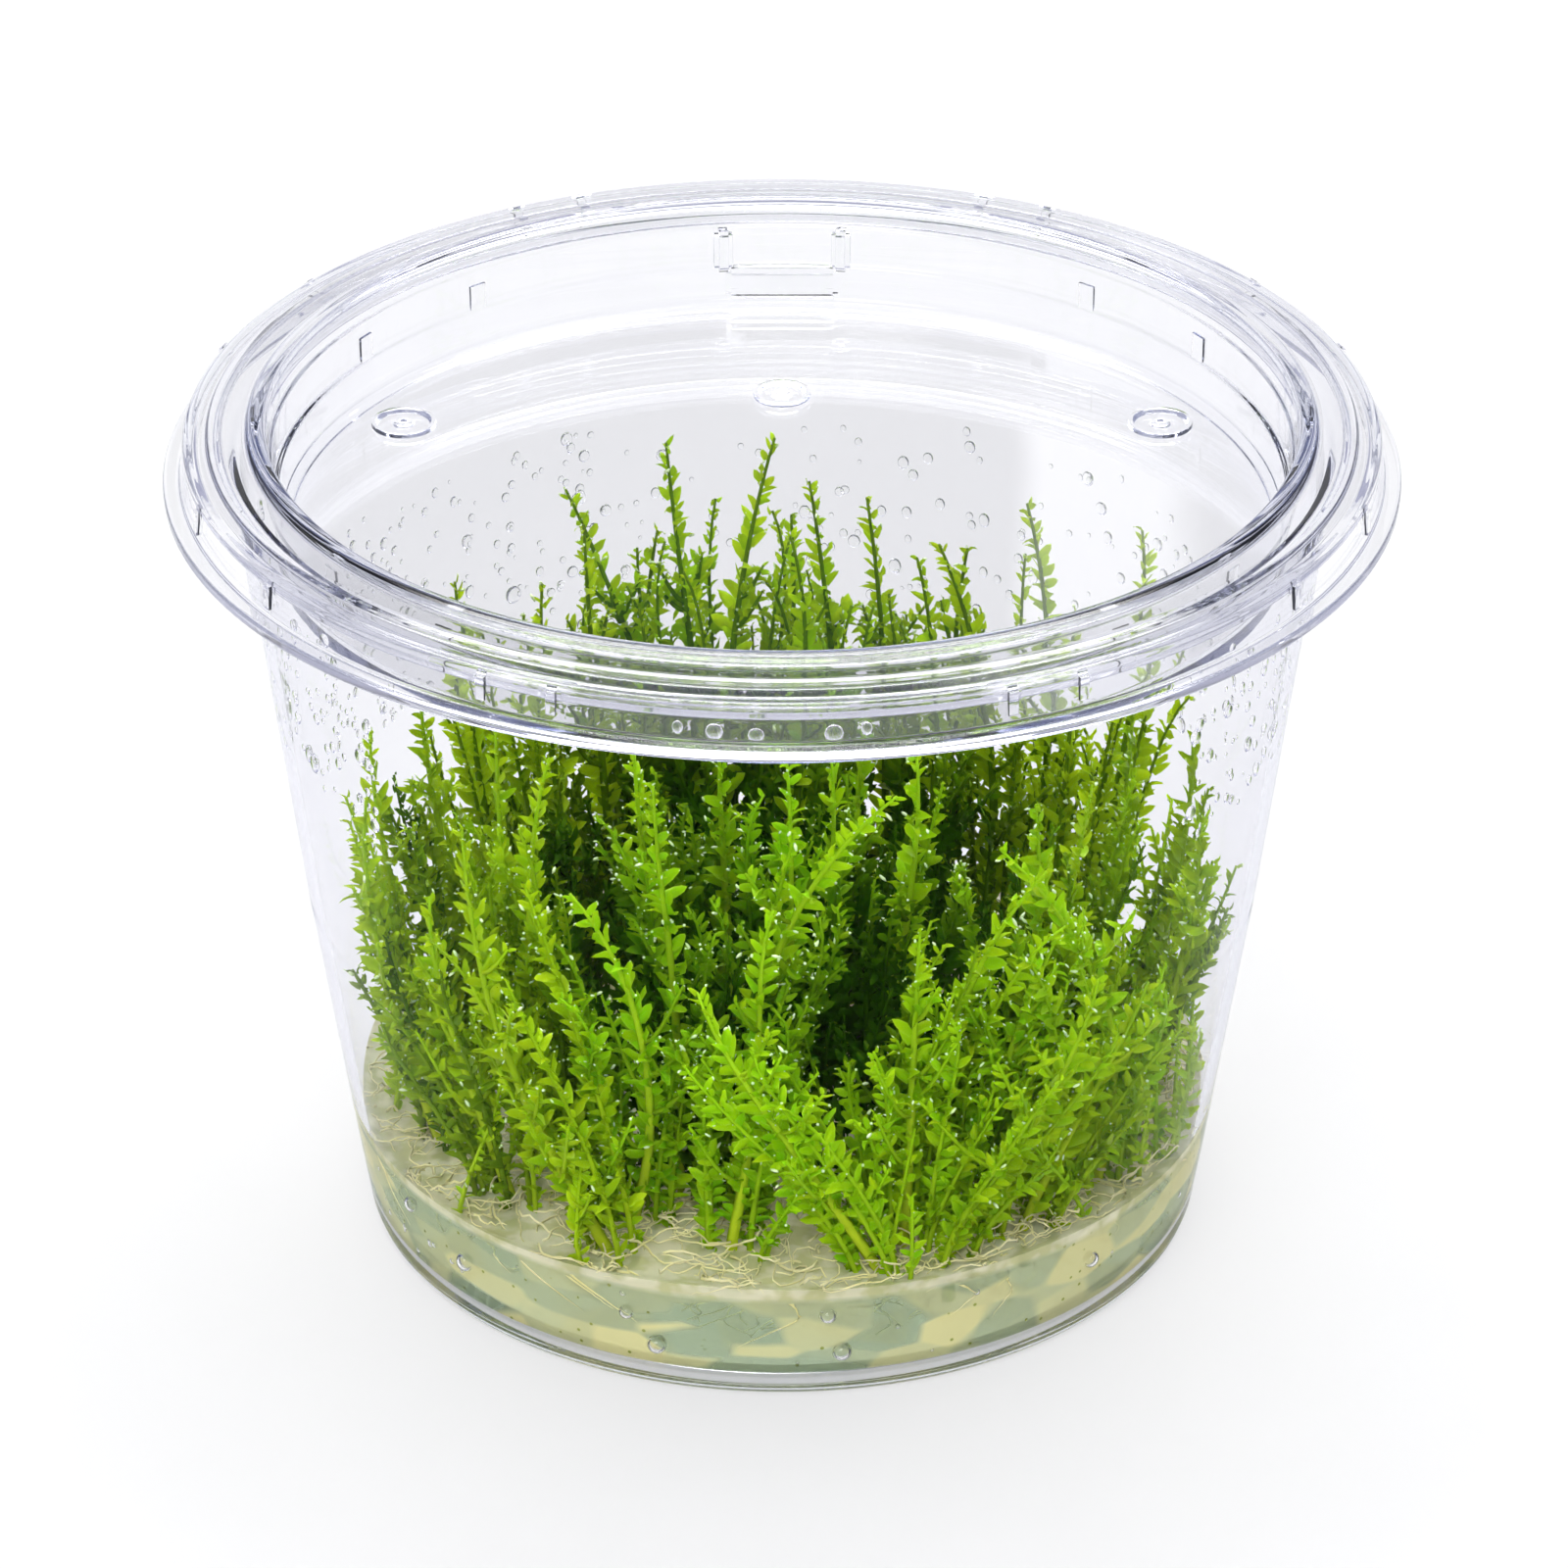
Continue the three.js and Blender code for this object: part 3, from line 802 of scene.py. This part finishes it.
def spine_of(node):
    """The middle line of a shoot's CAD solid, from foot to tip, and the direction it is wide in."""
    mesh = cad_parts[node].data
    points = np.empty(len(mesh.vertices) * 3)
    mesh.vertices.foreach_get("co", points)
    points = points.reshape(-1, 3) / MM
    low, high = points[:, 2].min(), points[:, 2].max()
    share = (points[:, 2] - low) / (high - low)
    weight = np.where((share < 0.02) | (share > 0.99), 6.0, 1.0)
    fits = [np.polyfit(share, points[:, axis], 3, w=weight) for axis in (0, 1)]
    steps = np.linspace(0, 1, SPINE_STEPS)
    line = np.stack([np.polyval(fit, steps) for fit in fits] + [low + steps * (high - low)], 1)
    middle = np.stack([np.polyval(fit, share) for fit in fits], 1)
    spread = points[:, :2] - middle
    values, vectors = np.linalg.eigh(spread.T @ spread)
    wide = vectors[:, np.argmax(values)]
    return line, np.array([wide[0], wide[1], 0.0])


def hooked(line, side, amount):
    """A line whose last quarter bends aside."""
    share = np.clip((np.linspace(0, 1, len(line)) - 0.72) / 0.28, 0, 1)
    bent = line + np.outer(share**2 * amount, side)
    bent[:, 2] -= share**3 * abs(amount) * 0.5
    return bent


def curved_between(start, end, lift, aside):
    """A smooth line that leaves its start along lift and bows aside on its way to its end."""
    share = np.linspace(0, 1, 16)[:, None]
    middle = (start + end) / 2 + aside
    first = start + lift
    return (
        (1 - share) ** 3 * start
        + 3 * share * (1 - share) ** 2 * first
        + 3 * share**2 * (1 - share) * (middle * 0.5 + end * 0.5)
        + share**3 * end
    )


SHOOT_SEED = 100
COMPANIONS = 7
BRANCHES = 8
SPRIGS = 7
FRONT_SPRIGS = 2


class Shoot:
    """One shoot: a main frond on its CAD solid's line, slimmer ones beside it, and side branches."""

    def __init__(self, index, node):
        self.rng = np.random.default_rng(SHOOT_SEED + index)
        self.growth = Growth()
        self.line, self.side = spine_of(node)
        x, y = self.line[MIDDLE, :2]
        self.outward = unit([x, y, 0.0])
        self.behind = y > 8
        # Shoots at the sides of the clump stand in each other's shade, which is painted into their colour
        self.painted_gloom = abs(self.outward[0]) * (not self.behind)
        # Shoots at the sides and the back are yellower than those in front; at the back this is a painted
        # back light
        self.tone = 0.1 + 0.6 * abs(x) / 32 + 0.5 * self.behind + self.rng.uniform(-0.1, 0.35)

    def grow_part(self, points, side, **settings):
        grow_frond(self.growth, points, side, self.rng, tone=self.tone, **settings)

    def grow_main(self):
        rng = self.rng
        # The stems of shoots at the back take the leaves' colour and painted shade; those in front are
        # pale
        self.growth.pale_stem, self.growth.painted_stem_shade = (0.0, 0.75) if self.behind else (0.8, 0.0)
        root = self.line[0] - [0, 0, rng.uniform(1.5, 4.5)]
        whole = np.vstack([root, self.line])
        main = held_inside(hooked(whole, self.side, rng.uniform(-1.6, 1.6)))
        self.growth.shade = 0.3
        self.growth.painted_gloom = rng.uniform(0, 0.5) * self.painted_gloom
        self.grow_part(main, self.side, scale=1.06, bare=0.1 if self.behind else 0.18, thick=0.58)
        self.growth.shade = 1.0
        self.growth.pale_stem *= 0.4

    def grow_companion(self):
        """A slimmer frond that starts beside the main one and leans away from it."""
        rng, side, outward = self.rng, self.side, self.outward
        height = self.line[-1, 2] - self.line[0, 2]
        aside = side * rng.uniform(2.2, 5.0) * rng.choice([-1, 1])
        aside = aside + outward * rng.uniform(-4.5, 2.2 + 2.5 * abs(outward[0]))
        top = along_line(self.line, [rng.uniform(0.45, 0.88)])[0] + aside
        foot = self.line[0] + aside * 0.45 - [0, 0, 1.5]
        bow = side * rng.normal(0, 1.2) + outward * rng.normal(0, 0.8)
        slim = curved_between(foot, top, np.array([0, 0, height * 0.25]), bow)
        slim = held_inside(hooked(slim, side, rng.uniform(-2.4, 2.4)))
        turn = rng.normal(0, 0.5)
        lying = side * math.cos(turn) + outward * math.sin(turn)
        self.growth.painted_gloom = rng.uniform(0, 1) ** 1.3 * self.painted_gloom
        self.grow_part(slim, lying, scale=rng.uniform(0.72, 0.95), thick=0.30)

    def grow_branch(self, sign):
        """A side branch, to the left or the right of the main frond."""
        rng = self.rng
        share = rng.uniform(0.18, 0.72)
        start = along_line(self.line, [share])[0]
        length = rng.uniform(6.5, 12.5) * (1.15 - share)
        away = self.side * sign * rng.uniform(0.45, 0.8) + self.outward * rng.uniform(-0.5, 0.6)
        end = start + unit(away + [0, 0, rng.uniform(0.7, 1.2)]) * length
        twig = held_inside(curved_between(start, end, away * length * 0.3, np.array([0, 0, -0.6])))
        self.grow_part(twig, self.side, scale=rng.uniform(0.6, 0.85), bare=0.0, thick=0.24)

    def grow_sprig(self):
        """A short young frond near the shoot's foot."""
        rng = self.rng
        around = rng.uniform(0, 2 * np.pi)
        away = np.array([math.cos(around), math.sin(around), 0]) * rng.uniform(2, 6.5)
        foot = self.line[0] + away - [0, 0, 1]
        top = foot + [rng.normal(0, 3), rng.normal(0, 3), rng.uniform(7, 15)]
        sprig = held_inside(curved_between(foot, top, np.array([0, 0, 3.0]), np.zeros(3)))
        self.grow_part(sprig, self.side, scale=rng.uniform(0.55, 0.8), bare=0.0, thick=0.24)

    def grow(self):
        self.grow_main()
        for _ in range(COMPANIONS):
            self.grow_companion()
        self.growth.painted_gloom = 0.0
        for number in range(BRANCHES):
            self.grow_branch(1 if number % 2 else -1)
        for _ in range(SPRIGS if self.line[0, 1] > -18 else FRONT_SPRIGS):
            self.grow_sprig()


def grow_shoot(index, node, material):
    """Builds a shoot's piece, and gives the places where dew can sit on it."""
    shoot = Shoot(index, node)
    shoot.grow()
    finish_piece(shoot.growth.object(node.replace("shoot", "frond")), material, [node])
    return shoot.growth.wet_places()


TUFT_SEED = 61
TUFTS = 165


def grow_tufts(material):
    """Low young fronds on the gel, between the shoots' feet."""
    rng = np.random.default_rng(TUFT_SEED)
    growth = Growth()
    growth.pale_stem = 0.3
    for _ in range(TUFTS):
        reach, around = 28 * math.sqrt(rng.random()), rng.uniform(0, 2 * np.pi)
        foot = np.array([reach * math.cos(around), reach * math.sin(around), GEL_TOP - 0.6])
        top = foot + [rng.normal(0, 3), rng.normal(0, 3), rng.uniform(6, 19)]
        tuft = held_inside(curved_between(foot, top, np.array([0, 0, 3.0]), np.zeros(3)))
        turn = rng.uniform(0, np.pi)
        side = np.array([math.cos(turn), math.sin(turn), 0.0])
        tone = rng.uniform(0.1, 0.9)
        scale = rng.uniform(0.55, 0.95)
        grow_frond(growth, tuft, side, rng, scale=scale, bare=0.0, tone=tone, thick=0.26)
    finish_piece(growth.object("moss_tufts"), material)
    return growth.wet_places()


# The small things: wet points with painted glints, root hairs and condensation


DEW_SEED = 77
DEW_COUNT = 7000


def build_dew_and_glints(starts, ends, material):
    """Wet points on the leaves' edges and tips, half of them drawn out along the edge into strokes of
    painted highlight.
    """
    rng = np.random.default_rng(DEW_SEED)
    outer = np.flatnonzero(painted_shade_in_clump(ends) < 0.8)
    chance = np.clip(ends[outer, 2] - 8, 1, 30)
    picked = rng.choice(outer, DEW_COUNT, replace=False, p=chance / chance.sum())
    share = rng.random((DEW_COUNT, 1))
    centres = held_inside(starts[picked] * (1 - share) + ends[picked] * share, room=0.3)
    radii = 0.05 + 0.11 * rng.random(DEW_COUNT) ** 2
    drawn_out = np.where(rng.random(DEW_COUNT) < 0.5, rng.uniform(1.0, 2.2, DEW_COUNT), 0.0)
    ball, ball_faces = sphere(1)
    edges = unit(ends[picked] - starts[picked])
    along = (ball @ edges.T).T[..., None] * edges[:, None]
    beads = ball[None] + along * drawn_out[:, None, None]
    vertices = (centres[:, None] + beads * radii[:, None, None]).reshape(-1, 3)
    firsts = (np.arange(DEW_COUNT) * len(ball))[:, None, None]
    faces = (np.array(ball_faces)[None] + firsts).reshape(-1, 3)
    finish_piece(new_object("dew_and_glints", vertices, faces.tolist()), material)


ROOT_SEED = 12
ROOT_COUNT = 1500
ROOT_SIDES = 3
ROOT_STEPS = 13


def at_gel_top(around, reach):
    return np.array([reach * math.cos(around), reach * math.sin(around), GEL_TOP])


def root_course(rng, number, feet):
    """The line of one root hair, and its thickness."""
    foot = feet[rng.integers(len(feet))] + np.append(rng.normal(0, 2.0, 2), 0)
    sinking = rng.random() < 0.35
    room, around = 0.9, 0.0
    if number % 3 == 0:
        # One in three lies away from the shoots' feet, nearer to the wall
        around, reach = rng.uniform(0, 2 * np.pi), rng.uniform(29, 36)
        foot = at_gel_top(around, reach)
        room = 0.9 if reach < 32.5 else 0.03
    heading = rng.uniform(0, 2 * np.pi)
    step = rng.uniform(0.35, 0.85)
    thick = rng.uniform(0.08, 0.15)
    if number % 48 == 0:
        # One in sixteen of those is stouter and sinks along the wall
        sinking, room, thick = True, -0.02, 0.2
        foot = at_gel_top(around, 35.2)
        heading = around + math.pi / 2
    point = np.array([foot[0], foot[1], GEL_TOP + (-0.4 if sinking else rng.uniform(0.1, 1.6))])
    line = []
    for _ in range(ROOT_STEPS):
        line.append(point.copy())
        heading += rng.normal(0, 0.55)
        drop = -0.5 * step if sinking else rng.normal(-0.03, 0.2)
        point = point + [math.cos(heading) * step, math.sin(heading) * step, drop]
        point[2] = np.clip(point[2], 3.0, GEL_TOP + 2.2)
    return held_inside(line, room), thick


def build_roots(feet, material):
    """Fine curling hairs on and in the gel, most of them at the shoots' feet."""
    rng = np.random.default_rng(ROOT_SEED)
    quads, ends = tube_faces(ROOT_STEPS, ROOT_SIDES)
    faces = quads.tolist() + ends.tolist()
    nearly_upright = np.array([0.05, 0.03, 1.0])
    parts = []
    for number in range(ROOT_COUNT):
        line, thick = root_course(rng, number, feet)
        radii = np.linspace(thick, 0.05, ROOT_STEPS)
        parts.append((tube_points(line, nearly_upright, radii, ROOT_SIDES), faces))
    finish_piece(new_object("root_hairs", *joined(parts)), material)


PLACE_SEED = 31
DROP_SEED = 8
# Middle and half width in degrees, lowest and highest place, and count of drops
DROP_GROUPS = (
    (180, 75, 33, 51, 260),
    (-70, 20, 46, 64, 170),
    (68, 18, 46, 64, 150),
    (-138, 20, 33, 50, 80),
)
# The large drops under the lid's front, given as the bubbles are
FRONT_DROPS = (
    (-6.8, 65.7, 0.7),
    (-2.6, 65.5, 0.65),
    (5.2, 65.6, 0.75),
    (-10.5, 65.9, 0.45),
    (8.5, 65.9, 0.45),
)


def drop_places():
    """Angle, height and radius of each drop of condensation."""
    rng = np.random.default_rng(PLACE_SEED)
    places = []
    for middle, spread, low, high, count in DROP_GROUPS:
        for _ in range(count):
            angle = middle + rng.uniform(-spread, spread)
            height = rng.uniform(low, high)
            places.append((math.radians(angle), height, rng.gamma(2.4, 0.09) + 0.12))
    return places + [(math.radians(angle), height, size) for angle, height, size in FRONT_DROPS]


def build_condensation(material):
    """Drops as flattened domes that sit in the cup's inner wall."""
    rng = np.random.default_rng(DROP_SEED)
    ball, faces = sphere(2)
    parts = []
    for angle, height, size in drop_places():
        outward = np.array([math.sin(angle), -math.cos(angle), 0])
        along = np.array([math.cos(angle), math.sin(angle), 0])
        centre = outward * float(inner_radius(height)) + [0, 0, height]
        tall = size * rng.uniform(1.0, 1.35)
        flat = np.outer(ball[:, 0] * size * 0.35, outward)
        wide = np.outer(ball[:, 1] * size, along)
        parts.append((centre + flat + wide + np.outer(ball[:, 2], [0, 0, tall]), faces))
    finish_piece(new_object("condensation", *joined(parts)), material)


# The camera, the floor and the light


def add_camera():
    camera = bpy.data.objects.new("photo_camera", bpy.data.cameras.new("photo_camera"))
    bpy.context.scene.collection.objects.link(camera)
    tilt = math.radians(CAMERA_ELEVATION)
    target = Vector(CAMERA_TARGET) * MM
    camera.location = target + Vector((0, -math.cos(tilt), math.sin(tilt))) * CAMERA_DISTANCE * MM
    camera.rotation_euler = (math.pi / 2 - tilt, 0, 0)
    camera.data.lens = CAMERA_LENS
    camera.data.sensor_width = 36
    camera.data.shift_x = CAMERA_SHIFT
    camera.data.clip_start = 0.01
    bpy.context.scene.camera = camera


def add_floor():
    made = bpy.data.materials.new("studio_floor")
    nodes = Nodes(made)
    speckle = nodes.noise(1 / (60 * MM))
    inputs = {
        "Base Color": nodes.mix(speckle, (0.15, 0.15, 0.151, 1), (0.17, 0.17, 0.171, 1)),
        "Roughness": 0.9,
        "Specular IOR Level": 0.0,
        "Emission Color": (1, 1, 1, 1),
        "Emission Strength": 0.63,
    }
    nodes.finish(inputs)
    made.cycles.emission_sampling = "NONE"
    half, low = 3000, -0.03
    corners = [(-half, -half, low), (half, -half, low), (half, half, low), (-half, half, low)]
    floor = new_object("floor", corners, [(0, 1, 2, 3)], smooth=False)
    floor.data.materials.append(made)


def studio_sides(nodes, direction):
    """White walls with greyer, slightly violet parts, which draw the edges of the clear plastic."""
    scale = {0: direction, 1: (1.6, 1.6, 2.4)}
    scaled = nodes.add("ShaderNodeVectorMath", scale, operation="MULTIPLY").outputs[0]
    bands = nodes.add("ShaderNodeTexNoise", {"Vector": scaled, "Scale": 1.4, "Detail": 1.0})
    share = nodes.smooth_rise(bands.outputs["Fac"], 0.50, 0.58)
    return nodes.mix(share, (0.46, 0.47, 0.61, 1), (1.1, 1.11, 1.15, 1))


def far_window(nodes, x, y, z):
    """A dark window at the far side, which the lid's panel mirrors: its place and its colours."""
    slant = nodes.add("ShaderNodeMath", {0: x, 1: y}, operation="DIVIDE").outputs[0]
    screen = nodes.product(nodes.smooth_rise(slant, 0.034, 0.040), nodes.smooth_rise(slant, 0.068, 0.058))
    colours = nodes.mix(screen, (0.05, 0.05, 0.06, 1), (1.1, 1.1, 1.12, 1))
    aside = nodes.add("ShaderNodeMath", {0: x}, operation="ABSOLUTE").outputs[0]
    tall = nodes.product(nodes.smooth_rise(z, 0.37, 0.42), nodes.smooth_rise(z, 0.58, 0.53))
    wide = nodes.product(nodes.smooth_rise(aside, 0.14, 0.10), nodes.smooth_rise(y, 0.0, 0.1))
    return nodes.product(tall, wide), colours


def lamp_share(nodes, direction, axis, edge, core):
    """A round lamp in the direction of its axis; edge and core are cosines of the angle off it."""
    toward = nodes.add("ShaderNodeVectorMath", {0: direction, 1: axis}, operation="DOT_PRODUCT")
    return nodes.smooth_rise(toward.outputs["Value"], edge, core)


def add_world():
    """A white studio with a dark window, a ring lamp above and a round lamp in front."""
    world = bpy.data.worlds.new("studio")
    bpy.context.scene.world = world
    # Light reaches the moss only through clear walls, so rays aimed at it are wasted
    world.cycles.sampling_method = "NONE"
    nodes = Nodes(world)
    direction = nodes.place("Generated")
    parts = nodes.add("ShaderNodeSeparateXYZ", {0: direction})
    x, y, z = (parts.outputs[axis] for axis in "XYZ")
    window, colours = far_window(nodes, x, y, z)
    light = nodes.mix(window, studio_sides(nodes, direction), colours)
    above = lamp_share(nodes, direction, (0.0, 0.25, 0.968), 0.84, 0.91)
    light = nodes.mix(above, light, (13.5, 13.5, 13.5, 1))
    # The upper lamp is a ring, so the lid stays clear when seen from above
    light = nodes.mix(nodes.smooth_rise(z, 0.925, 0.955), light, (0.9, 0.9, 0.93, 1))
    front = lamp_share(nodes, direction, (-0.15, -0.65, 0.745), 0.92, 0.96)
    light = nodes.mix(front, light, (7.0, 7.0, 7.0, 1))
    background = nodes.add("ShaderNodeBackground", {"Color": light, "Strength": 1.0})
    nodes.add("ShaderNodeOutputWorld", {"Surface": background.outputs[0]})


def set_light_paths():
    scene = bpy.context.scene
    scene.cycles.max_bounces = 32
    scene.cycles.diffuse_bounces = 3
    scene.cycles.glossy_bounces = 24
    scene.cycles.transmission_bounces = 32
    scene.cycles.transparent_max_bounces = 8
    scene.view_settings.view_transform = "Standard"
    scene.view_settings.look = "None"


def build_container():
    """The cup, its foot and the lid. The cup bends light little, so the moss shows clearly in it."""
    body, violet = (0.980, 0.979, 0.980), (0.79, 0.80, 0.88)
    cup = clear_material("clear_cup", 1.06, body, 30, 0.05, 0.02, tint=violet, density=150.0)
    grey = (0.72, 0.77, 0.84)
    foot = clear_material("clear_foot", 1.42, body, 30, 0.05, 0.02, tint=grey, density=140.0)
    lilac = (0.76, 0.78, 0.86)
    shell = (0.965, 0.965, 0.972)
    lid = clear_material("clear_lid", 1.41, shell, 40, 0.08, 0.02, tint=lilac, density=75.0)
    build_cup(cup)
    build_foot(foot)
    build_lid(lid)


def build_moss():
    """The shoots, the tufts between them, their dew and their root hairs."""
    leaf = leaf_material()
    shoots = sorted(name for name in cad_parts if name.startswith("moss_shoot"))
    wet = [grow_shoot(index, node, leaf) for index, node in enumerate(shoots)]
    wet.append(grow_tufts(leaf))
    wet_starts, wet_ends = (np.concatenate(points) for points in zip(*wet))
    build_dew_and_glints(wet_starts, wet_ends, dew_and_glint_material())
    feet = [spine_of(node)[0][0] for node in shoots]
    build_roots(feet, root_material())


def build_all():
    add_camera()
    add_floor()
    add_world()
    set_light_paths()
    build_container()
    build_gel(gel_material())
    build_bubbles(clear_material("bubble", 0.72, (1, 1, 1), 3, 0.0, 0.0))
    build_moss()
    build_condensation(clear_material("water", 1.33, (1, 1, 1), 3, 0.0, 0.0))


build_all()
